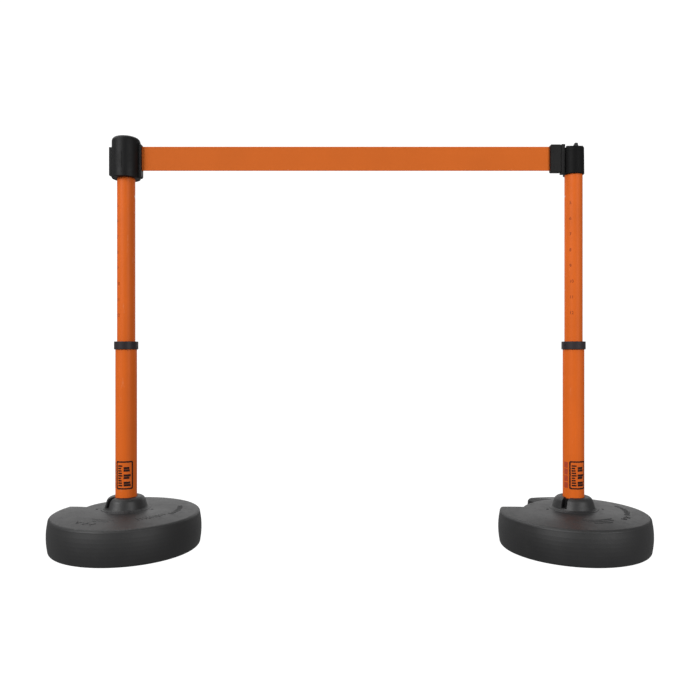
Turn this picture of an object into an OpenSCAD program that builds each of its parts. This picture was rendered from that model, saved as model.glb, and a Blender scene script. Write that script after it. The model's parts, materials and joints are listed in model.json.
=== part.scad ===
// Retractable belt barrier: two telescoping plastic posts on round fillable bases, joined by a belt.
// Origin: on the floor, midway between the posts. +X runs along the belt to the receiving post,
// +Y to the back, +Z up. Millimetres.

/* [Span] */
// Distance between the axes of the two posts
span = 1174; // [800:1:2200]

/* [Base] */
// Outer radius at the widest height of the side wall
base_r = 193.4; // [180:0.1:210]
// Height of the rim
rim_h = 90.2; // [80:0.1:100]
// Height of the crowned top at the foot of the hub
crown_h = 100.2; // [95:0.1:105]
// Height of the hub
hub_h = 132.5; // [128:0.1:140]
// Radius of the hub at its foot
hub_foot_r = 54; // [50:0.5:56]
// Radius of the hub below its rounded shoulder
hub_top_r = 49; // [46:0.5:52]
// Wall of the hollow moulding
base_wall = 3.5; // [2.5:0.1:5]
// Radius of the inner wall of the hand notch
notch_r = 134; // [128:1:150]
// Direction of one end of the hand notch, anticlockwise from +X
notch_from = 113; // [105:0.5:120]
// Direction of the other end of the hand notch
notch_to = 158.5; // [150:0.5:165]

/* [Posts] */
// Outside radius of the lower tube
lower_tube_r = 27.15; // [26:0.05:27.5]
// Wall of the lower tube
lower_tube_wall = 3; // [2.5:0.1:3.2]
// Height of the lower tube's top end
lower_tube_top = 528; // [500:1:560]
// Outside radius of the upper tube
upper_tube_r = 22.95; // [21.5:0.05:23]
// Wall of the upper tube
upper_tube_wall = 2.5; // [2:0.1:3]
// Outside radius of the twist collar
collar_r = 30.5; // [29.5:0.05:32]
// Height of the twist collar
collar_h = 20.8; // [18:0.1:24]

/* [Canister] */
// Outside radius of the belt canister
can_r = 36.3; // [35:0.1:38]
// Wall of the belt canister
can_wall = 2.5; // [2:0.1:3]
// Height of the canister's underside above the floor
can_z = 963.7; // [940:0.1:980]
// Height of the canister, with its cap
can_h = 108.1; // [106:0.1:112]

/* [Belt] */
// Width of the belt
belt_w = 63.3; // [50:0.1:64]
// Thickness of the belt
belt_t = 1; // [0.8:0.1:1.2]

/* [Hidden] */
$fn = 64;
left = -span / 2;
right = span / 2;

// Base outline
mid_h = 44;
low_round = 9.5;
rim_round = 8.5;
side_bulge = 3.2;
crown_from_r = 181;
ring_r = 63;
hub_round = 14;
socket_floor = 12;
socket_gap = 0.05;
socket_r = lower_tube_r + socket_gap;
plug_dir = (notch_from + notch_to) / 2;
plug_z = 50;
plug_r = 14;
plug_face = notch_r + 3;
key_dir = 225;
key_w = 15.5;
key_floor = 107.2;
key_face = 34;

// Post
lower_in_r = lower_tube_r - lower_tube_wall;
upper_in_r = upper_tube_r - upper_tube_wall;
collar_z = 516.4;
collet_z = 500;
mast_foot_z = 478;
bush_top = 499.5;
pin_z = 918;
pin_r = 2.5;

// Canister and cassette, heights from the canister's underside
seam = 80.3;
cap_round = 12;
can_in_r = can_r - can_wall;
can_floor = 3.5;
arbor_r = 4;
exit_x = 42;
exit_half = 9.5;
exit_top = 93;
guide_x = 37.65;
guide_y = 3;
guide_r = 1.2;
rail_face = 40.9;
rail_lo = 6.7;
rail_hi = 80;
rail_flat = 35.3;
lead_end = 37;
roll_in_r = 10;
roll_out_r = 21.9;
flange_r = 29;

// Belt
belt_z = 1016.75;
belt_lo = belt_z - belt_w / 2;
belt_hi = belt_z + belt_w / 2;
belt_x0 = left + lead_end;
belt_x1 = right - 62.1;
clip_x1 = right - 34;
rivet_x = belt_x1 + 10;
rivet_heights = [belt_z - 24, belt_z, belt_z + 24];

// Receiving head: channel sizes shared by the clip's hook and every receiver
rec_z = 973.2;
rec_top = 1043.8;
rec_r = 26.75;
rec_foot_r = 27.8;
rec_face = 23.6;
lip = 1.8;
mouth_half = 5.25;
cavity_half = 9.5;
cavity_depth = 6;
channel_floor = 979.5;
hook_gap = 0.9;
lever_play = 0.3;
lever_t = 3.3;

BLACK = [0.14, 0.14, 0.14];
ORANGE = [0.86, 0.4, 0.14];
BELT = [0.8, 0.41, 0.17];
STEEL = [0.7, 0.7, 0.72];
NYLON = [0.85, 0.85, 0.8];

// Points along an arc, from direction a to direction b
function arc(x, y, r, a, b, n = 6) =
  [for (i = [0:n]) let (t = a + (b - a) * i / n) [x + r * cos(t), y + r * sin(t)]];
// Outline of a rectangle with rounded corners
function round_box(x0, y0, x1, y1, r) = concat(
  arc(x1 - r, y0 + r, r, -90, 0), arc(x1 - r, y1 - r, r, 0, 90),
  arc(x0 + r, y1 - r, r, 90, 180), arc(x0 + r, y0 + r, r, 180, 270));

module ring(r, hole, z0, z1) {
  difference() {
    translate([0, 0, z0]) cylinder(r = r, h = z1 - z0);
    translate([0, 0, z0 - 1]) cylinder(r = hole, h = z1 - z0 + 2);
  }
}

// A block given by its lowest and highest corners
module block(lo, hi) {
  translate(lo) cube(hi - lo);
}

// ---------------------------------------------------------------- base

function side_r(z) = base_r - side_bulge * pow((z - mid_h) / (mid_h - low_round), 2);
function crown_z(r) =
  rim_h + (crown_h - rim_h) * (1 - pow((r - ring_r) / (crown_from_r - ring_r), 2));

// Outline of the base from the floor's rim up to the foot of the hub, moved inwards by t
function base_side(t) = let (top = rim_h - rim_round) concat(
  arc(side_r(low_round) - low_round, low_round, low_round - t, -90, 0),
  [for (z = [20:10:70]) [side_r(z) - t, z]],
  arc(side_r(top) - rim_round, top, rim_round - t, 0, 80),
  [for (i = [1:7]) let (r = crown_from_r + (ring_r - crown_from_r) * i / 7) [r, crown_z(r) - t]]);

module base_outside() {
  rotate_extrude() polygon(concat(
    [[0, 0]],
    base_side(0),
    [[ring_r - 1.5, crown_h + 1.2], [hub_foot_r + 4, crown_h + 1.5], [hub_foot_r, crown_h + 4]],
    arc(hub_top_r - hub_round, hub_h - hub_round, hub_round, 15, 90, 8),
    [[0, hub_h]]));
}

module base_inside() {
  well_r = socket_r + base_wall;
  rotate_extrude() polygon(concat(
    [[well_r, base_wall]],
    base_side(base_wall),
    [[hub_foot_r - base_wall, crown_h]],
    arc(hub_top_r - hub_round, hub_h - hub_round, hub_round - base_wall, 15, 90, 8),
    [[well_r, hub_h - base_wall]]));
}

// Wedge of the hand notch with rounded inner corners, grown by t on its three walls
module notch(t) {
  corner = 12;
  out_r = base_r + 30;
  in_r = notch_r - t;
  mid_r = in_r + corner;
  turn = asin(corner / mid_r);
  grow = asin(t / mid_r);
  a = notch_from - grow;
  b = notch_to + grow;
  translate([0, 0, -1]) linear_extrude(hub_h) polygon(concat(
    arc(0, 0, in_r, a + turn, b - turn, 11),
    arc(mid_r * cos(b - turn), mid_r * sin(b - turn), corner, b - turn + 180, b + 90),
    [out_r * [cos(b), sin(b)], out_r * [cos(a), sin(a)]],
    arc(mid_r * cos(a + turn), mid_r * sin(a + turn), corner, a - 90, a + turn - 180)));
}

// Everything above the sloping edges round the notch, grown by t on its three walls
module above_notch_edges(t) {
  low = 80 - 2 * t;
  high = 112;
  function above(mid, mid_z, wide_z, out) =
    [[-2, low], [mid + t, mid_z - t], [22 + t, wide_z - t], [22 + t, high], [-out, high], [-out, low]];
  intersection() {
    rotate_extrude() polygon([for (p = above(6, 92, 99, 100)) [notch_r - p[0], p[1]]]);
    rotate([90, 0, 90 + notch_from]) translate([0, 0, 40]) linear_extrude(200)
      polygon([for (p = above(7, 90.4, 98, 190)) [-p[0], p[1]]]);
    rotate([90, 0, 90 + notch_to]) translate([0, 0, 40]) linear_extrude(200)
      polygon(above(7, 90.4, 98, 190));
  }
}

// A cylinder that points out of the notch's inner wall
module toward_notch(r, from, to) {
  rotate([0, 0, plug_dir]) translate([from, 0, plug_z]) rotate([0, 90, 0])
    cylinder(r = r, h = to - from);
}

module key_slot(t) {
  rotate([0, 0, key_dir])
    block([socket_r - 1, -key_w / 2 - t, key_floor - t], [hub_foot_r + 5, key_w / 2 + t, hub_h + 1]);
}

module base_shell() {
  color(BLACK) difference() {
    union() {
      difference() {
        base_outside();
        notch(0);
        above_notch_edges(0);
        difference() {
          base_inside();
          notch(base_wall);
          above_notch_edges(base_wall);
          key_slot(base_wall);
        }
      }
      toward_notch(plug_r + 6, notch_r - 6, plug_face);
    }
    translate([0, 0, socket_floor]) cylinder(r = socket_r, h = hub_h);
    translate([0, 0, hub_h - 2]) cylinder(r1 = socket_r, r2 = socket_r + 3, h = 2.01);
    toward_notch(plug_r, notch_r - 10, plug_face + 1);
    key_slot(0);
    for (side = [-1, 1]) translate([side * 72, -13, crown_h - 1.5]) cylinder(r = 3.5, h = 5);
  }
}

// Push-in bung with a finger tab
module fill_plug() {
  color(BLACK) {
    difference() {
      toward_notch(plug_r - 0.08, plug_face - 16, plug_face + 0.1);
      toward_notch(plug_r - 3, plug_face - 17, plug_face - 3);
    }
    toward_notch(plug_r + 4, plug_face + 0.1, plug_face + 3);
    rotate([0, 0, plug_dir]) block([plug_face + 2, -2, plug_z - 9], [plug_face + 10, 2, plug_z + 9]);
  }
}

// ---------------------------------------------------------------- post

// Key on the lower tube that stands in the hub's slot, so that the post can't turn
module post_key() {
  color(BLACK) rotate([0, 0, key_dir]) block(
    [lower_tube_r + 0.1, -key_w / 2 + 0.1, key_floor + 0.1], [key_face, key_w / 2 - 0.1, hub_h - 3]);
}

module lower_tube() {
  color(ORANGE) ring(lower_tube_r, lower_in_r, socket_floor + 2, lower_tube_top);
}

module tube_foot() {
  color(BLACK) {
    ring(lower_tube_r - 0.2, 12, socket_floor, socket_floor + 2);
    ring(lower_in_r, 12, socket_floor + 2, socket_floor + 16);
  }
}

// Split ring that the twist collar squeezes on the upper tube
module collet() {
  slits = 6;
  color(NYLON) difference() {
    union() {
      ring(lower_in_r, upper_tube_r + 0.12, collet_z, lower_tube_top);
      ring(lower_tube_r - 0.2, upper_tube_r + 0.12, lower_tube_top, lower_tube_top + 3);
    }
    for (i = [0:slits - 1]) rotate([0, 0, i * 360 / slits])
      block([lower_in_r - 4, -1, collet_z - 1], [lower_tube_r + 2, 1, lower_tube_top - 8]);
  }
}

// mark_dir is the direction of the small round mark on the collar's side
module twist_collar(mark_dir) {
  top = collar_z + collar_h;
  lip_z = lower_tube_top + 3.4;
  edge = 1.2;
  color(BLACK) difference() {
    rotate_extrude() polygon(concat(
      [[upper_tube_r + 0.5, lip_z], [lower_tube_r + 0.1, lip_z], [lower_tube_r + 0.1, collar_z]],
      arc(collar_r - edge, collar_z + edge, edge, -90, 0),
      arc(collar_r - edge, top - edge, edge, 0, 90),
      [[upper_tube_r + 0.5, top]]));
    rotate([0, 0, mark_dir]) translate([collar_r - 0.8, 0, collar_z + collar_h / 2])
      rotate([0, 90, 0]) cylinder(r = 2.6, h = 3);
  }
}

// inward is the direction of the belt; top is where the head sits on the tube
module upper_tube(inward, top) {
  color(ORANGE) difference() {
    ring(upper_tube_r, upper_in_r, mast_foot_z, top);
    translate([0, 0, pin_z]) rotate([0, 90, inward]) translate([0, 0, -40])
      cylinder(r = pin_r, h = 80);
  }
}

module guide_bush() {
  color(NYLON) {
    ring(lower_in_r - 0.25, upper_tube_r, mast_foot_z, bush_top);
    ring(lower_in_r - 0.25, 12, mast_foot_z - 3, mast_foot_z);
    ring(upper_in_r, 12, mast_foot_z, mast_foot_z + 14);
  }
}

module head_pin() {
  half = upper_tube_r - 0.15;
  color(STEEL) translate([-half, 0, pin_z]) rotate([0, 90, 0]) cylinder(r = pin_r, h = 2 * half);
}

// ---------------------------------------------------------------- canister

// Everything from here to the next heading is drawn from the canister's underside

module can_outside() {
  edge = 1.5;
  rotate_extrude() polygon(concat(
    [[0, 0]],
    arc(can_r - edge, edge, edge, -90, 0),
    arc(can_r - cap_round, can_h - cap_round - 0.8, cap_round, 0, 86, 8),
    [[0, can_h]]));
}

module can_inside() {
  inner_round = cap_round - can_wall;
  rotate_extrude() polygon(concat(
    [[0, can_floor], [can_in_r, can_floor]],
    arc(can_r - cap_round, can_h - cap_round - 0.8, inner_round, 0, 86, 8),
    [[0, can_h - can_wall]]));
}

module canister_adapter() {
  foot = pin_z - 13 - can_z;
  screw_circle = 14;
  color(BLACK) difference() {
    ring(upper_in_r, 9, foot, 0);
    translate([0, 0, pin_z - can_z]) rotate([0, 90, 0]) translate([0, 0, -40])
      cylinder(r = pin_r, h = 80);
    for (i = [0:2]) rotate([0, 0, 30 + 120 * i]) translate([screw_circle, 0, -14])
      cylinder(r = 1.5, h = 15);
  }
}

module canister_screws() {
  color(STEEL) for (i = [0:2]) rotate([0, 0, 30 + 120 * i]) translate([14, 0, 0]) {
    translate([0, 0, -13]) cylinder(r = 1.5, h = 13 + can_floor + 0.5);
    difference() {
      translate([0, 0, can_floor]) cylinder(r = 3, h = 2);
      block([-3, -0.4, can_floor + 1.2], [3, 0.4, can_floor + 3]);
    }
  }
}

// A block with a T-shaped channel open at its top; the mouth faces +X at face
module channel_cut(face, from, to) {
  block([face - lip - 1, -mouth_half, from], [face + 20, mouth_half, to]);
  block([face - lip - cavity_depth, -cavity_half, from], [face - lip, cavity_half, to]);
}

module canister_body() {
  color(BLACK) difference() {
    union() {
      intersection() {
        can_outside();
        cylinder(r = can_r + 5, h = seam);
      }
      rotate([0, 0, 180]) block([can_in_r - 2, -12.8, rail_lo], [rail_face, 12.8, rail_hi]);
    }
    can_inside();
    translate([0, 0, -1]) cylinder(r = arbor_r, h = 10);
    for (i = [0:2]) rotate([0, 0, 30 + 120 * i]) translate([14, 0, -1]) cylinder(r = 1.6, h = 10);
    // side channel for a second barrier's clip, backed by a flat on the canister's wall
    rotate([0, 0, 180]) {
      block([rail_face - lip - 1, -mouth_half, rail_lo + 5], [rail_face + 1, mouth_half, rail_hi + 1]);
      block([rail_flat, -cavity_half, rail_lo + 5], [rail_face - lip, cavity_half, rail_hi + 1]);
    }
    block([can_in_r - 4, -5.6, 18], [can_r + 1, 5.6, seam + 1]);
    // moulded line and dot on the front
    block([-1, -can_r - 1, 22], [1, -can_r + 0.8, 63]);
    translate([0, -can_r - 1, 10]) rotate([-90, 0, 0]) cylinder(r = 2.2, h = 1.6);
  }
}

module canister_cap() {
  color(BLACK) {
    difference() {
      intersection() {
        can_outside();
        translate([0, 0, seam]) cylinder(r = can_r + 5, h = can_h);
      }
      can_inside();
      block([can_in_r - 4, -5.6, seam - 1], [can_r + 1, 5.6, 88.5]);
      block([-can_r - 1, -cavity_half, seam - 1], [-rail_flat, cavity_half, can_h + 1]);
    }
    // snap skirt inside the body's rim, open at the belt's exit
    difference() {
      union() {
        ring(can_in_r - 0.05, can_in_r - 2, seam - 6, seam + 2);
        ring(can_in_r + 0.5, can_in_r - 2, seam + 0.02, seam + 2);
      }
      block([0, -5.6, seam - 7], [can_r, 5.6, seam + 3]);
    }
    ring(8, arbor_r, 90.5, can_h - can_wall);
  }
}

module exit_bezel() {
  lo = 2.3;
  edge = 5;
  top_round = 8;
  color(BLACK) difference() {
    translate([0, exit_half, 0]) rotate([90, 0, 0]) linear_extrude(2 * exit_half) polygon(concat(
      [[20, lo]],
      arc(exit_x - edge, lo + edge, edge, -90, 0),
      arc(exit_x - top_round, exit_top - top_round, top_round, 0, 90, 8),
      [[20, exit_top]]));
    can_outside();
    block([20, -5.6, 19.4], [exit_x - 1.4, 5.6, 86.8]);
    block([20, -2.2, 19.4], [exit_x + 1, 2.2, 86.8]);
    guide_pair();
  }
}

module guide_pair() {
  for (side = [-1, 1]) translate([guide_x, side * guide_y, 16.4]) cylinder(r = guide_r, h = 72);
}

module guide_pins() {
  color(STEEL) guide_pair();
}

module spool_arbor() {
  color(STEEL) cylinder(r = arbor_r, h = 96);
}

module belt_spool() {
  color(NYLON) difference() {
    union() {
      translate([0, 0, 18.1]) cylinder(r = roll_in_r, h = 71.6);
      translate([0, 0, 18.1]) cylinder(r = flange_r, h = 1.8);
      translate([0, 0, 86.3]) cylinder(r = flange_r, h = 1.8);
    }
    translate([0, 0, 17]) cylinder(r = arbor_r + 0.06, h = 80);
  }
}

module belt_roll() {
  color(BELT) ring(roll_out_r, roll_in_r, belt_lo - can_z, belt_hi - can_z);
}

// Belt between the roll and the exit
module belt_lead() {
  path = concat(arc(0, 0, roll_out_r + 0.9, -110, -48, 6), [[31, -3], [34.5, -0.8], [lead_end, 0]]);
  count = len(path);
  half = [0, belt_t / 2];
  color(BELT) translate([0, 0, belt_lo - can_z]) linear_extrude(belt_w) polygon(concat(
    [for (i = [0:count - 1]) path[i] + half],
    [for (i = [count - 1:-1:0]) path[i] - half]));
}

// Flat spiral that winds the belt back in
module power_spring() {
  turns = 7;
  steps = 24;
  strip = 0.5;
  first_r = 4.6;
  pitch = 3;
  function spiral(shift) = [for (i = [0:turns * steps])
    let (r = first_r + shift + pitch * i / steps, t = 360 * i / steps) [r * cos(t), r * sin(t)]];
  inner = spiral(0);
  outer = spiral(strip);
  count = len(inner);
  color(STEEL) translate([0, 0, 6.8]) linear_extrude(9) polygon(concat(
    inner, [for (i = [count - 1:-1:0]) outer[i]]));
}

module spring_cover() {
  color(NYLON) ring(can_in_r - 0.05, arbor_r + 0.6, 16.3, 17.5);
}

// ---------------------------------------------------------------- belt and clip

module belt_strip() {
  color(BELT) block([belt_x0, -belt_t / 2, belt_lo], [belt_x1, belt_t / 2, belt_hi]);
}

module rivet_holes(r) {
  for (z = rivet_heights) translate([rivet_x, 10, z]) rotate([90, 0, 0]) cylinder(r = r, h = 20);
}

module belt_tail() {
  color(BELT) difference() {
    block([belt_x1, -belt_t / 2, belt_lo], [belt_x1 + 19, belt_t / 2, belt_hi]);
    rivet_holes(2);
  }
}

// One half of the clip, on the side of the belt that side points to
module clip_half(side) {
  lo = 980.1;
  hi = 1052.8;
  thick = 6.6;
  gap = belt_t / 2 + 0.2;
  step = 1;
  color(BLACK) difference() {
    rotate([90, 0, 0]) translate([0, 0, side > 0 ? -gap - thick : gap]) {
      linear_extrude(thick) polygon(round_box(belt_x1 + step, lo + step, clip_x1, hi - step, 2));
      translate([0, 0, side > 0 ? step : 0]) linear_extrude(thick - step)
        polygon(round_box(belt_x1, lo, clip_x1, hi, 3));
    }
    block([belt_x1 + 21, -3.05, belt_z - 27.1], [clip_x1 + 1, 3.05, belt_z + 27.1]);
    rivet_holes(2);
  }
}

module clip_hook() {
  face = right - rec_face - hook_gap;
  head_x = right - rec_face + lip + hook_gap / 2;
  foot = 980;
  top = 1030;
  color(BLACK) {
    block([belt_x1 + 21.1, -3, belt_z - 27], [clip_x1, 3, belt_z + 27]);
    translate([clip_x1, 9, 0]) rotate([90, 0, 0]) linear_extrude(18)
      polygon(round_box(0, 976.5, face - clip_x1, 1053, 1.5));
    block([face - 1, -4.65, foot], [head_x, 4.65, top]);
    block([head_x, -8.9, foot], [head_x + 2, 8.9, top]);
  }
}

module clip_rivets() {
  half = 7.3;
  head = 0.25;
  color(BLACK) for (z = rivet_heights) translate([rivet_x, 0, z]) rotate([90, 0, 0]) {
    translate([0, 0, -half - head]) cylinder(r = 2, h = 2 * (half + head));
    translate([0, 0, half]) cylinder(r = 3, h = head);
    translate([0, 0, -half - head]) cylinder(r = 3, h = head);
  }
}

// ---------------------------------------------------------------- receiving head

// Drawn about the right post's axis, at its real height

module receiver_cap() {
  line_z = rec_top - 11;
  edge = 0.8;
  color(BLACK) difference() {
    union() {
      rotate_extrude() polygon([
        [0, rec_z], [rec_foot_r - edge, rec_z], [rec_foot_r, rec_z + edge],
        [rec_r + 0.2, line_z - 0.5], [rec_r - 0.2, line_z - 0.4], [rec_r - 0.2, line_z + 0.4],
        [rec_r + 0.2, line_z + 0.5], [rec_r, rec_top - edge], [rec_r - edge, rec_top], [0, rec_top]]);
      translate([0, 0, pin_z - 13]) cylinder(r = upper_in_r, h = rec_z - pin_z + 14);
    }
    translate([0, 0, pin_z - 14]) cylinder(r = 9, h = 105);
    translate([0, 0, rec_top - 14]) cylinder(r = 2.5, h = 20);
    translate([0, 0, pin_z]) rotate([0, 90, 0]) translate([0, 0, -40]) cylinder(r = pin_r, h = 80);
    for (turn = [0, 180]) rotate([0, 0, turn]) {
      block([rec_face, -30, rec_z - 1], [rec_foot_r + 5, 30, rec_top + 1]);
      channel_cut(rec_face, channel_floor, rec_top + 1);
    }
  }
}

// Locking plate, notched over each channel. Turned aside, its solid edges cross the channels and
// keep a hook from lifting out.
module lock_lever() {
  z0 = rec_top + lever_play;
  z1 = z0 + lever_t;
  reach = 24.3;
  half = 12.8;
  tab_top = 1055.3;
  notch_x = rec_face - lip - cavity_depth - 0.2;
  notch_half = cavity_half - 0.1;
  tab_t = 3;
  color(BLACK) {
    difference() {
      intersection() {
        translate([0, 0, z0]) cylinder(r = reach, h = lever_t);
        block([-reach - 1, -half, z0 - 1], [reach + 1, half, z1 + 1]);
      }
      translate([0, 0, z0 - 1]) cylinder(r = 2.58, h = lever_t + 2);
      for (turn = [0, 180]) rotate([0, 0, turn])
        block([notch_x, -notch_half, z0 - 1], [reach + 1, notch_half, z1 + 1]);
    }
    // thumb tab on the front edge
    translate([0, tab_t - half, 0]) rotate([90, 0, 0]) linear_extrude(tab_t) polygon([
      [-4.4, z1 - 1], [8.5, z1 - 1], [8.5, z1 + 0.6], [7.2, tab_top - 1.4], [5.8, tab_top],
      [0.2, tab_top], [-1.2, tab_top - 1.4], [-4.4, z1 + 0.6]]);
  }
}

module lever_screw() {
  head_z = rec_top + lever_play + lever_t + 0.2;
  color(STEEL) difference() {
    union() {
      translate([0, 0, rec_top - 14]) cylinder(r = 2.5, h = 18.5);
      translate([0, 0, head_z]) cylinder(r = 4, h = 1.6);
    }
    block([-0.6, -6, head_z + 0.8], [0.6, 6, head_z + 4]);
  }
}

// ---------------------------------------------------------------- places

translate([left, 0, 0]) base_shell();  // base_shell_left
translate([right, 0, 0]) base_shell();  // base_shell_right
translate([left, 0, 0]) fill_plug();  // fill_plug_left
translate([right, 0, 0]) fill_plug();  // fill_plug_right
translate([left, 0, 0]) lower_tube();  // lower_tube_left
translate([right, 0, 0]) lower_tube();  // lower_tube_right
translate([left, 0, 0]) tube_foot();  // tube_foot_left
translate([right, 0, 0]) tube_foot();  // tube_foot_right
translate([left, 0, 0]) post_key();  // post_key_left
translate([right, 0, 0]) post_key();  // post_key_right
translate([left, 0, 0]) collet();  // collet_left
translate([right, 0, 0]) collet();  // collet_right
translate([left, 0, 0]) twist_collar(100);  // twist_collar_left
translate([right, 0, 0]) twist_collar(210);  // twist_collar_right
translate([left, 0, 0]) upper_tube(0, can_z);  // upper_tube_left
translate([right, 0, 0]) upper_tube(180, rec_z);  // upper_tube_right
translate([left, 0, 0]) guide_bush();  // guide_bush_left
translate([right, 0, 0]) guide_bush();  // guide_bush_right
translate([left, 0, 0]) head_pin();  // head_pin_left
translate([right, 0, 0]) head_pin();  // head_pin_right
translate([left, 0, can_z]) canister_adapter();
translate([left, 0, can_z]) canister_body();
translate([left, 0, can_z]) canister_cap();
translate([left, 0, can_z]) canister_screws();
translate([left, 0, can_z]) exit_bezel();
translate([left, 0, can_z]) guide_pins();
translate([left, 0, can_z]) spool_arbor();
translate([left, 0, can_z]) belt_spool();
translate([left, 0, can_z]) belt_roll();
translate([left, 0, can_z]) belt_lead();
translate([left, 0, can_z]) power_spring();
translate([left, 0, can_z]) spring_cover();
belt_strip();
belt_tail();
clip_half(-1);  // clip_front
clip_half(1);  // clip_back
clip_hook();
clip_rivets();
translate([right, 0, 0]) receiver_cap();
translate([right, 0, 0]) lock_lever();
translate([right, 0, 0]) lever_screw();
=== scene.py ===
"""Looks of the retractable belt barrier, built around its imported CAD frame.

Metres, +Z up. The camera looks along +Y.
"""
import json
import math

import bmesh
import bpy
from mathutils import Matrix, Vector
from mathutils.bvhtree import BVHTree


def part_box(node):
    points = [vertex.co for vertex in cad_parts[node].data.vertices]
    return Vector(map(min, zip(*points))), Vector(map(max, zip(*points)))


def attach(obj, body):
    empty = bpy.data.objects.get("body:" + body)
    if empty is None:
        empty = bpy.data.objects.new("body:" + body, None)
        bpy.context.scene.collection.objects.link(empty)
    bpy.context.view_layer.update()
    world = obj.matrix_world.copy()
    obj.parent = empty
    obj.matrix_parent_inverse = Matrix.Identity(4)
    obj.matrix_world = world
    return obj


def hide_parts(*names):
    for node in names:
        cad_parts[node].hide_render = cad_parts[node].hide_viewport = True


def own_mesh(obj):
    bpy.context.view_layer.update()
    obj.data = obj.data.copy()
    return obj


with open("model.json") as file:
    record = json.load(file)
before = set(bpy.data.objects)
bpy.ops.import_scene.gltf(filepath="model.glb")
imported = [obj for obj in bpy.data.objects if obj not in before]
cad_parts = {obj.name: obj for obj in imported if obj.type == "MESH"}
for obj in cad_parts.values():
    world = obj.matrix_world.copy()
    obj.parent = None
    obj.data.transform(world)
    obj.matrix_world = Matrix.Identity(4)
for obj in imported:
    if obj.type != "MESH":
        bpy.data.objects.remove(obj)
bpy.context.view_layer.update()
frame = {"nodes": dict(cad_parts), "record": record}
NODES = frame["nodes"]
MM = 0.001

# ---------------------------------------------------------------- places taken from the frame


def middle(node):
    lo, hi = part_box(node)
    return (lo + hi) / 2


def radius(node):
    lo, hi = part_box(node)
    return (hi.y - lo.y) / 2


SIDES = ("left", "right")
POST = {side: Vector((middle(f"lower_tube_{side}").x, 0, 0)) for side in SIDES}
LOWER_R = radius("lower_tube_left")
UPPER_R = radius("upper_tube_left")

# ---------------------------------------------------------------- camera, light and floor

CAMERA_AT = (0, -1.7865, 0.5114)
CAMERA_LENS = 35
SENSOR_WIDTH = 36
CAMERA_SHIFT = (0.0002, 0.0019)
FLOOR_RADIUS = 30
# Strength of the white world and floor: as the eye sees them, and as they light the object
SEEN_WHITE = 1.1
WORLD_LIT = 0.35
FLOOR_LIT = 0.3
# Share of the floor that ignores shadows
FLOOR_GLOW = 0.97
# name, place, what it points at, size, power
LIGHTS = [
    ("top_box", (-1.4, 0.9, 3.2), (-0.3, 0, 0.2), (3.4, 2.4), 68),
    ("key_box", (-9.0, -10.0, 7.0), (0, 0, 0.55), (7.0, 7.0), 1750),
    ("fill_box", (3.6, -4.4, 2.0), (0, 0, 0.55), (2.8, 2.8), 140),
    ("back_box", (0, 4.5, 1.7), (0, 0, 0.4), (8.0, 2.6), 55),
]


def make_camera():
    data = bpy.data.cameras.new("camera")
    data.lens = CAMERA_LENS
    data.sensor_width = SENSOR_WIDTH
    data.shift_x, data.shift_y = CAMERA_SHIFT
    camera = bpy.data.objects.new("camera", data)
    camera.location = CAMERA_AT
    camera.rotation_euler = (math.radians(90), 0, 0)
    bpy.context.scene.collection.objects.link(camera)
    bpy.context.scene.camera = camera


def area_light(name, place, target, size, power):
    data = bpy.data.lights.new(name, "AREA")
    data.shape = "RECTANGLE"
    data.size, data.size_y = size
    data.energy = power
    light = bpy.data.objects.new(name, data)
    light.location = place
    light.rotation_euler = (Vector(target) - Vector(place)).to_track_quat("-Z", "Y").to_euler()
    light.visible_camera = False
    bpy.context.scene.collection.objects.link(light)


def seen_or_lit(tree, seen, lit):
    """One shader for what the eye sees directly and another for what lights the object."""
    path = tree.nodes.new("ShaderNodeLightPath")
    mix = tree.nodes.new("ShaderNodeMixShader")
    tree.links.new(path.outputs["Is Camera Ray"], mix.inputs["Fac"])
    tree.links.new(lit.outputs[0], mix.inputs[1])
    tree.links.new(seen.outputs[0], mix.inputs[2])
    return mix


def white_shader(tree, kind, strength):
    made = tree.nodes.new(kind)
    made.inputs["Color"].default_value = (1, 1, 1, 1)
    made.inputs["Strength"].default_value = strength
    return made


def make_lights():
    """A white room, dimmer for the object than for the eye, with soft boxes round the object."""
    world = bpy.data.worlds.new("studio")
    bpy.context.scene.world = world
    world.use_nodes = True
    tree = world.node_tree
    tree.nodes.clear()
    out = tree.nodes.new("ShaderNodeOutputWorld")
    seen = white_shader(tree, "ShaderNodeBackground", SEEN_WHITE)
    lit = white_shader(tree, "ShaderNodeBackground", WORLD_LIT)
    tree.links.new(seen_or_lit(tree, seen, lit).outputs[0], out.inputs["Surface"])
    for light in LIGHTS:
        area_light(*light)


def make_floor():
    """A pale floor, nearly all plain white glow, that takes only a faint shadow."""
    bpy.ops.mesh.primitive_circle_add(vertices=96, radius=FLOOR_RADIUS, fill_type="NGON")
    floor = bpy.context.object
    floor.name = "floor"
    material = bpy.data.materials.new("pale_floor")
    material.use_nodes = True
    tree = material.node_tree
    tree.nodes.clear()
    out = tree.nodes.new("ShaderNodeOutputMaterial")
    matt = tree.nodes.new("ShaderNodeBsdfDiffuse")
    matt.inputs["Color"].default_value = (0.8, 0.8, 0.8, 1)
    glow = white_shader(tree, "ShaderNodeEmission", SEEN_WHITE)
    faint = tree.nodes.new("ShaderNodeMixShader")
    faint.inputs["Fac"].default_value = FLOOR_GLOW
    tree.links.new(matt.outputs[0], faint.inputs[1])
    tree.links.new(glow.outputs[0], faint.inputs[2])
    dim = white_shader(tree, "ShaderNodeEmission", FLOOR_LIT)
    tree.links.new(seen_or_lit(tree, faint, dim).outputs[0], out.inputs["Surface"])
    floor.data.materials.append(material)


# ---------------------------------------------------------------- materials


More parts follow.
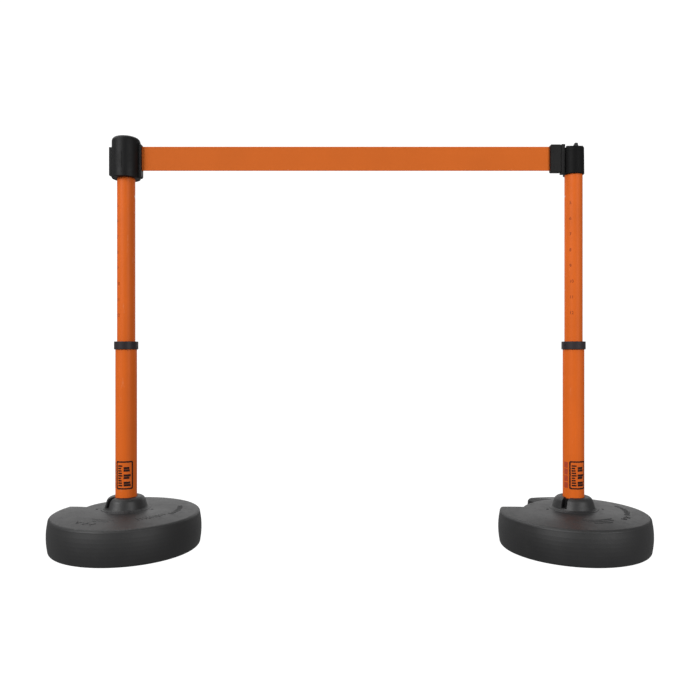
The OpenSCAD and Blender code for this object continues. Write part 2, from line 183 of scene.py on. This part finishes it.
class Graph:
    """Short calls for building a node material."""

    def __init__(self, name):
        self.material = bpy.data.materials.new(name)
        self.material.use_nodes = True
        self.tree = self.material.node_tree
        self.shader = self.tree.nodes["Principled BSDF"]
        self.coords = self.tree.nodes.new("ShaderNodeTexCoord").outputs["Object"]

    def node(self, kind, **sockets):
        made = self.tree.nodes.new(kind)
        for key, value in sockets.items():
            self.put(made.inputs[key.replace("_", " ")], value)
        return made

    def put(self, socket, value):
        if isinstance(value, bpy.types.NodeSocket):
            self.tree.links.new(value, socket)
        else:
            socket.default_value = value

    def stretched(self, scale):
        """Object coordinates with each axis scaled on its own."""
        mapping = self.node("ShaderNodeMapping", Vector=self.coords)
        mapping.inputs["Scale"].default_value = scale
        return mapping.outputs["Vector"]

    def noise(self, scale, detail=3.0, roughness=0.55, coords=None):
        made = self.node("ShaderNodeTexNoise", Vector=coords or self.coords)
        made.inputs["Scale"].default_value = scale
        made.inputs["Detail"].default_value = detail
        made.inputs["Roughness"].default_value = roughness
        return made.outputs["Fac"]

    def spread(self, value, low, high, from_low=0.3, from_high=0.7):
        """value mapped from one range to another, without overshoot."""
        made = self.node("ShaderNodeMapRange", Value=value)
        limits = {"From Min": from_low, "From Max": from_high, "To Min": low, "To Max": high}
        for key, number in limits.items():
            made.inputs[key].default_value = number
        return made.outputs["Result"]

    def blend(self, factor, a, b):
        """Colour a where factor is 0 and b where it is 1."""
        made = self.tree.nodes.new("ShaderNodeMix")
        made.data_type = "RGBA"
        self.put(made.inputs["Factor"], factor)
        self.put(made.inputs["A"], a)
        self.put(made.inputs["B"], b)
        return made.outputs["Result"]

    def math(self, operation, a, b):
        made = self.tree.nodes.new("ShaderNodeMath")
        made.operation = operation
        self.put(made.inputs[0], a)
        self.put(made.inputs[1], b)
        return made.outputs[0]

    def bump(self, height, strength, distance, under=None):
        made = self.node("ShaderNodeBump", Height=height)
        made.inputs["Strength"].default_value = strength
        made.inputs["Distance"].default_value = distance
        if under is not None:
            self.put(made.inputs["Normal"], under)
        return made.outputs["Normal"]


def rgba(colour, shade=1.0):
    return (colour[0] * shade, colour[1] * shade, colour[2] * shade, 1)


def moulded_plastic(
    name, colour, rough=0.45, grain=1400, grain_depth=0.00008, mottle=9, patch=0.12, specular=0.5
):
    """Injection or blow moulded plastic: fine grain, cloudy sheen and rubbed patches."""
    g = Graph(name)
    clouds = g.noise(mottle, 4)
    worn = g.noise(mottle * 7, 6, 0.65)
    base = g.blend(g.spread(clouds, 0, 1), rgba(colour, 1 - patch), rgba(colour, 1 + patch))
    rubbed = g.blend(g.spread(worn, 0, 0.35, 0.62, 0.8), base, rgba(colour, 1.6))
    g.put(g.shader.inputs["Base Color"], rubbed)
    dull = g.math("ADD", g.spread(clouds, rough - 0.06, rough + 0.06), g.spread(worn, 0, 0.1, 0.5, 0.8))
    g.put(g.shader.inputs["Roughness"], dull)
    g.shader.inputs["Specular IOR Level"].default_value = specular
    fine = g.bump(g.noise(grain, 2), 0.5, grain_depth)
    g.put(g.shader.inputs["Normal"], g.bump(g.noise(mottle * 3, 2), 0.25, 0.0006, fine))
    return g.material


def extruded_plastic(name, colour):
    """Tube plastic: lengthwise draw lines, a cloudy sheen, and pale scuffs."""
    g = Graph(name)
    lines = g.noise(1, 3, coords=g.stretched((420, 420, 2.5)))
    clouds = g.noise(11, 4)
    scuffs = g.noise(60, 7, 0.7, g.stretched((1, 1, 0.25)))
    base = g.blend(g.spread(clouds, 0, 1), rgba(colour, 0.93), rgba(colour, 1.06))
    base = g.blend(g.spread(lines, 0, 0.5), base, rgba(colour, 0.88))
    scuffed = g.blend(g.spread(scuffs, 0, 0.25, 0.62, 0.75), base, rgba(SCUFF))
    g.put(g.shader.inputs["Base Color"], scuffed)
    dull = g.math("ADD", g.spread(lines, 0.42, 0.54), g.spread(scuffs, 0, 0.15, 0.5, 0.75))
    g.put(g.shader.inputs["Roughness"], dull)
    g.shader.inputs["Specular IOR Level"].default_value = 0.16
    ribs = g.bump(lines, 0.35, 0.0002)
    g.put(g.shader.inputs["Normal"], g.bump(g.noise(1500, 2), 0.3, 0.00004, ribs))
    return g.material


def metal(name, colour, rough, lines=900):
    """Plated or drawn steel with fine turning lines."""
    g = Graph(name)
    streaks = g.noise(1, 4, coords=g.stretched((60, 60, lines)))
    tone = g.blend(g.spread(streaks, 0, 1), rgba(colour, 0.8), rgba(colour, 1.1))
    g.put(g.shader.inputs["Base Color"], tone)
    g.shader.inputs["Metallic"].default_value = 1.0
    g.put(g.shader.inputs["Roughness"], g.spread(streaks, rough, rough + 0.15))
    g.put(g.shader.inputs["Normal"], g.bump(streaks, 0.3, 0.00005))
    return g.material


THREAD_PITCH = 1.6 * MM


def woven(name, colour):
    """Belt webbing: ribs across the width, a fine twill over them, painted shade in the low parts of the
    weave, and slightly uneven dye.
    """
    g = Graph(name)
    split = g.node("ShaderNodeSeparateXYZ", Vector=g.coords)
    along, up = split.outputs["X"], split.outputs["Z"]
    turns = 2 * math.pi / THREAD_PITCH
    weft = g.math("SINE", g.math("MULTIPLY", up, turns), 0.0)
    twill = g.math("SINE", g.math("MULTIPLY", g.math("ADD", along, up), turns), 0.0)
    cloth = g.math("ADD", g.math("MULTIPLY", weft, 0.5), g.math("MULTIPLY", twill, 0.5))
    dye = g.noise(5, 3)
    fuzz = g.noise(900, 3)
    base = g.blend(g.spread(dye, 0, 1), rgba(colour, 0.94), rgba(colour, 1.05))
    # painted shade: the colour darkens where the weave's height is low, between its threads
    base = g.blend(g.spread(cloth, 0.45, 0, -1, 1), base, rgba(colour, 0.72))
    g.put(g.shader.inputs["Base Color"], g.blend(g.spread(fuzz, 0, 0.2), base, rgba(colour, 1.25)))
    g.shader.inputs["Roughness"].default_value = 0.72
    g.shader.inputs["Specular IOR Level"].default_value = 0.2
    g.shader.inputs["Sheen Weight"].default_value = 0.1
    g.shader.inputs["Sheen Roughness"].default_value = 0.4
    g.put(g.shader.inputs["Normal"], g.bump(fuzz, 0.25, 0.00006, g.bump(cloth, 0.6, 0.00025)))
    return g.material


ORANGE = (0.61, 0.112, 0.009)
SCUFF = (0.75, 0.42, 0.26)
BELT_ORANGE = (0.565, 0.116, 0.0105)
BASE_GREY = (0.0115, 0.0115, 0.012)
BLACK = (0.0042, 0.0042, 0.0045)
COLLAR_BLACK = (0.018, 0.0135, 0.016)
CANISTER_BLACK = (0.0034, 0.0034, 0.0037)
CLIP_BLACK = (0.0035, 0.0032, 0.0032)
RECEIVER_BLACK = (0.0018, 0.0018, 0.002)
NATURAL = (0.62, 0.6, 0.54)
FINE_GRAIN = {"grain": 1600, "grain_depth": 0.00006}

SLOT_MATERIAL = {
    "base_plastic": moulded_plastic(
        "base_plastic", BASE_GREY, 0.5, 900, 0.00015, mottle=8, patch=0.15, specular=0.45),
    "black_plastic": moulded_plastic("black_plastic", BLACK, 0.42, specular=0.3),
    "collar_plastic": moulded_plastic("collar_plastic", COLLAR_BLACK, 0.45, specular=0.25),
    "canister_plastic": moulded_plastic(
        "canister_plastic", CANISTER_BLACK, 0.52, mottle=22, specular=0.18, **FINE_GRAIN),
    "clip_plastic": moulded_plastic(
        "clip_plastic", CLIP_BLACK, 0.55, mottle=25, specular=0.2, **FINE_GRAIN),
    "receiver_plastic": moulded_plastic(
        "receiver_plastic", RECEIVER_BLACK, 0.55, mottle=25, specular=0.11, **FINE_GRAIN),
    "orange_plastic": extruded_plastic("orange_plastic", ORANGE),
    "nylon": moulded_plastic("nylon", NATURAL, 0.4, 1200, 0.00004, mottle=20, patch=0.05),
    "webbing": woven("webbing", BELT_ORANGE),
    "steel": metal("steel", (0.55, 0.55, 0.56), 0.28),
    "spring_steel": metal("spring_steel", (0.2, 0.23, 0.3), 0.3),
}


def dress_cad_nodes():
    """Gives every CAD node the material of its slot."""
    for row in frame["record"]["subparts"]:
        piece = NODES[row["node"]]
        piece.data.materials.clear()
        piece.data.materials.append(SLOT_MATERIAL[row["material_slot"]])


# ---------------------------------------------------------------- pieces


def new_piece(name, bm, slot, body, material=None):
    """Turns a bmesh into a piece that rides on a body."""
    mesh = bpy.data.meshes.new(name)
    bmesh.ops.recalc_face_normals(bm, faces=bm.faces)
    bm.to_mesh(mesh)
    bm.free()
    piece = bpy.data.objects.new(name, mesh)
    bpy.context.scene.collection.objects.link(piece)
    mesh.materials.append(material or SLOT_MATERIAL[slot])
    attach(piece, body)
    return piece


def make_belt():
    """The strip between the canister and the clip, with a rolled edge along its top and bottom."""
    lo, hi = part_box("belt_strip")
    half, width, length = (hi.y - lo.y) / 2, hi.z - lo.z, hi.x - lo.x
    edge = 2.2 * MM
    rim = [0, 0.25 * edge, 0.6 * edge, edge, 1.3 * edge]
    rows = 16
    heights = rim + [width * i / rows for i in range(1, rows)] + [width - a for a in reversed(rim)]

    def half_thickness(z):
        inset = min(z, width - z)
        if inset < edge:
            return half * 0.94 * math.sin(math.pi * min(max(inset / edge, 0.12), 0.88))
        return half * 0.62

    steps = 260
    bm = bmesh.new()
    rings = []
    for i in range(steps + 1):
        x = lo.x + length * i / steps
        front = [bm.verts.new((x, -half_thickness(z), lo.z + z)) for z in heights]
        back = [bm.verts.new((x, half_thickness(z), lo.z + z)) for z in reversed(heights)]
        rings.append(front + back)
    for a, b in zip(rings, rings[1:]):
        for k in range(len(a)):
            n = (k + 1) % len(a)
            bm.faces.new((a[k], b[k], b[n], a[n]))
    bm.faces.new(rings[0])
    bm.faces.new(list(reversed(rings[-1])))
    belt = new_piece("belt", bm, "webbing", "belt")
    for polygon in belt.data.polygons:
        polygon.use_smooth = True
    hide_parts("belt_strip")
    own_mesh(belt)


def wrap(bm, centre, tube_r, azimuth, z, proud):
    """Bends a flat shape onto a tube: x runs round it to the right and y up.

    The azimuth is in degrees from the front.
    """
    for vert in bm.verts:
        a = math.radians(azimuth) + vert.co.x / tube_r
        r = tube_r + proud * (1 if vert.co.z > 0 else -1)
        vert.co = Vector((centre.x + r * math.sin(a), centre.y - r * math.cos(a), z + vert.co.y))


def cut_fine(bm, step):
    """Cuts a flat shape into upright strips, so that it can bend."""
    xs = [v.co.x for v in bm.verts]
    x = min(xs) + step
    while x < max(xs):
        geometry = bm.verts[:] + bm.edges[:] + bm.faces[:]
        bmesh.ops.bisect_plane(bm, geom=geometry, plane_co=(x, 0, 0), plane_no=(1, 0, 0))
        x += step


def thicken(bm):
    """Gives a flat shape a lower face one unit below it and an upper one above, joined at its edges."""
    made = bmesh.ops.extrude_face_region(bm, geom=bm.faces[:])
    for vert in bm.verts:
        vert.co.z = -1
    for item in made["geom"]:
        if isinstance(item, bmesh.types.BMVert):
            item.co.z = 1


def glyphs(text, size):
    """A number as a flat bmesh that starts at the origin."""
    curve = bpy.data.curves.new("number", "FONT")
    curve.body = text
    curve.size = size
    curve.align_x = "LEFT"
    curve.align_y = "CENTER"
    holder = bpy.data.objects.new("number", curve)
    bpy.context.scene.collection.objects.link(holder)
    mesh = bpy.data.meshes.new_from_object(holder.evaluated_get(bpy.context.evaluated_depsgraph_get()))
    bm = bmesh.new()
    bm.from_mesh(mesh)
    bmesh.ops.remove_doubles(bm, verts=bm.verts, dist=1e-7)
    bpy.data.objects.remove(holder)
    bpy.data.meshes.remove(mesh)
    bpy.data.curves.remove(curve)
    return bm


def marks_material(name, colour, rough):
    """Ink or moulded marks, a little patchy as print on plastic is."""
    g = Graph(name)
    patchy = g.noise(700, 4)
    tone = g.blend(g.spread(patchy, 0, 1), rgba(colour, 0.8), rgba(colour, 1.2))
    g.put(g.shader.inputs["Base Color"], tone)
    g.put(g.shader.inputs["Roughness"], g.spread(patchy, rough, rough + 0.15))
    g.shader.inputs["Specular IOR Level"].default_value = 0.15
    g.put(g.shader.inputs["Normal"], g.bump(patchy, 0.2, 0.00003))
    return g.material


MARK_STEP = 0.8 * MM
MARK_PROUD = 0.12 * MM


def tube_marks(name, side, part, tube_r, shapes, material):
    """Joins flat shapes, each with its azimuth and height, into one thin layer round a tube."""
    whole = bmesh.new()
    for bm, azimuth, z in shapes:
        cut_fine(bm, MARK_STEP)
        thicken(bm)
        wrap(bm, POST[side], tube_r, azimuth, z, MARK_PROUD)
        part_mesh = bpy.data.meshes.new("part")
        bm.to_mesh(part_mesh)
        bm.free()
        whole.from_mesh(part_mesh)
        bpy.data.meshes.remove(part_mesh)
    new_piece(f"{name}_{side}", whole, "orange_plastic", f"{side}_{part}", material)


def make_scale(side):
    """Height numbers on the upper tube, one below the other."""
    pitch, size, smallest, count = 40.9 * MM, 11.5 * MM, 5, 8
    first_z, azimuth = {"left": (0.8914, -55), "right": (0.8976, -45)}[side]
    numbers = [glyphs(str(smallest + i), size) for i in range(count)]
    shapes = [(bm, azimuth, first_z - i * pitch) for i, bm in enumerate(numbers)]
    tube_marks("height_numbers", side, "mast", UPPER_R, shapes, NUMBER_INK)


def rounded(x0, y0, x1, y1, r):
    """Outline of a rectangle with round corners."""
    left, right, low, high = x0 + r, x1 - r, y0 + r, y1 - r
    corners = [(right, high, 0), (left, high, 90), (left, low, 180), (right, low, 270)]
    steps = 5
    outline = []
    for cx, cy, start in corners:
        for k in range(steps + 1):
            a = math.radians(start + 90 * k / steps)
            outline.append((cx + r * math.cos(a), cy + r * math.sin(a), 0))
    return outline


def flat_shape(outer, inner=None):
    """A filled outline, or the band between two outlines of equal length."""
    bm = bmesh.new()
    ring = [bm.verts.new(p) for p in outer]
    if inner is None:
        bm.faces.new(ring)
        return bm
    hole = [bm.verts.new(p) for p in inner]
    for k in range(len(ring)):
        n = (k + 1) % len(ring)
        bm.faces.new((ring[k], ring[n], hole[n], hole[k]))
    return bm


def make_label(side):
    """A framed notice of plain bars on the lower tube, and a strip of blocks beside it."""
    arc = math.radians(1) * LOWER_R
    foot = 0.154
    frame_from, frame_to, frame_h, border = -41 * arc, 56 * arc, 73 * MM, 3.8 * MM
    outer = rounded(frame_from, 0, frame_to, frame_h, 4 * MM)
    inner = rounded(frame_from + border, border, frame_to - border, frame_h - border, 2.5 * MM)
    shapes = [(flat_shape(outer, inner), 0, foot)]
    rows = 9
    pitch = (frame_h - 16 * MM) / rows
    for i in range(rows):
        z = 8 * MM + i * pitch
        short = (i % 4) * 1.2 * MM
        lines = rounded(-28 * arc, z, -2 * arc - short, z + 0.62 * pitch, 0.6 * MM)
        shapes.append((flat_shape(lines), 0, foot))
        if i % 3 != 2:
            block = rounded(4 * arc, z, 42 * arc - short, z + 0.9 * pitch, 0.6 * MM)
            shapes.append((flat_shape(block), 0, foot))
    tube_marks("notice", side, "base", LOWER_R, shapes, LABEL_INK)
    blocks = 4
    tall = 70 * MM / blocks
    strip = [rounded(-75 * arc, i * tall, -49 * arc, (i + 0.86) * tall, 1.2 * MM) for i in range(blocks)]
    shapes = [(flat_shape(outline), 0, foot + 2 * MM) for outline in strip]
    tube_marks("strip", side, "base", LOWER_R, shapes, STRIP_INK)


def polar(r, degrees):
    """A point beside the post; degrees run anticlockwise from the belt's direction."""
    return Vector((r * math.cos(math.radians(degrees)), r * math.sin(math.radians(degrees)), 0)) * MM


def arc_line(r, start, end):
    steps = max(4, round(abs(end - start)))
    return [polar(r, start + (end - start) * i / steps) for i in range(steps + 1)]


def ridge(bm, surface, centre, line, half, height):
    """A half round rib along a line of points, laid on the surface below it."""
    under, toe = -0.5 * MM, 0.02 * MM
    across = [
        (-half, under), (-half, toe), (-0.7 * half, 0.72 * height), (0, height),
        (0.7 * half, 0.72 * height), (half, toe), (half, under)]
    rings = []
    for i, point in enumerate(line):
        ahead = (line[min(i + 1, len(line) - 1)] - line[max(i - 1, 0)]).normalized()
        aside = Vector((-ahead.y, ahead.x, 0))
        ring = []
        for offset, rise in across:
            place = centre + point + aside * offset
            above = Vector((place.x, place.y, 0.3))
            hit = surface.ray_cast(above, Vector((0, 0, -1)))[0]
            ring.append(bm.verts.new((place.x, place.y, hit.z + rise)))
        rings.append(ring)
    for a, b in zip(rings, rings[1:]):
        for k in range(len(a)):
            n = (k + 1) % len(a)
            bm.faces.new((a[k], a[n], b[n], b[k]))
    bm.faces.new(list(reversed(rings[0])))
    bm.faces.new(rings[-1])


def fine_line(a, b, step=1.5 * MM):
    count = max(2, math.ceil((b - a).length / step))
    return [a + (b - a) * i / count for i in range(count + 1)]


RIDGE_HALF = 1.6 * MM
RIDGE_HEIGHT = 1.1 * MM
# In millimetres and degrees. arcs: radius, from, to. chevrons: radius, direction.
# bars: radius, from, to, count.
RELIEF = {
    "left": {
        "arcs": [(119, -113, -86), (131, -109, -90)],
        "chevrons": [(150, -104), (150, -112), (150, -120)],
        "bars": [(126, -60, -27, 9), (137, -19, 17, 8)],
    },
    "right": {
        "arcs": [(120, -98, -60), (131, -94, -63), (141, -88, -68)],
        "chevrons": [(137, -47), (137, -39)],
        "bars": [(131, -29, 15, 10)],
    },
}


def make_relief(side):
    """Plain arcs, chevrons and bars moulded on the base's sloping top."""
    base = NODES[f"base_shell_{side}"]
    shape = bmesh.new()
    shape.from_mesh(base.data)
    shape.transform(base.matrix_world)
    surface = BVHTree.FromBMesh(shape)
    shape.free()
    marks = RELIEF[side]
    lines = [arc_line(*arc) for arc in marks["arcs"]]
    for r, turn in marks["chevrons"]:
        tip = polar(r + 6, turn)
        for swing in (-3.2, 3.2):
            lines.append(fine_line(polar(r - 5, turn + swing), tip))
    for r, start, end, count in marks["bars"]:
        for i in range(count):
            turn = start + (end - start) * i / (count - 1)
            reach = (7, 5, 6)[i % 3]
            lines.append(fine_line(polar(r - reach, turn - 1), polar(r + reach, turn + 1)))
    bm = bmesh.new()
    for line in lines:
        ridge(bm, surface, POST[side], line, RIDGE_HALF, RIDGE_HEIGHT)
    new_piece(f"base_relief_{side}", bm, "base_plastic", f"{side}_base")


NUMBER_INK = marks_material("number_ink", (0.19, 0.025, 0.004), 0.5)
LABEL_INK = marks_material("label_ink", (0.022, 0.006, 0.004), 0.5)
STRIP_INK = marks_material("strip_ink", (0.36, 0.05, 0.018), 0.5)

bpy.context.scene.view_settings.view_transform = "Standard"
make_camera()
make_lights()
make_floor()
dress_cad_nodes()
make_belt()
for side in SIDES:
    make_scale(side)
    make_label(side)
    make_relief(side)
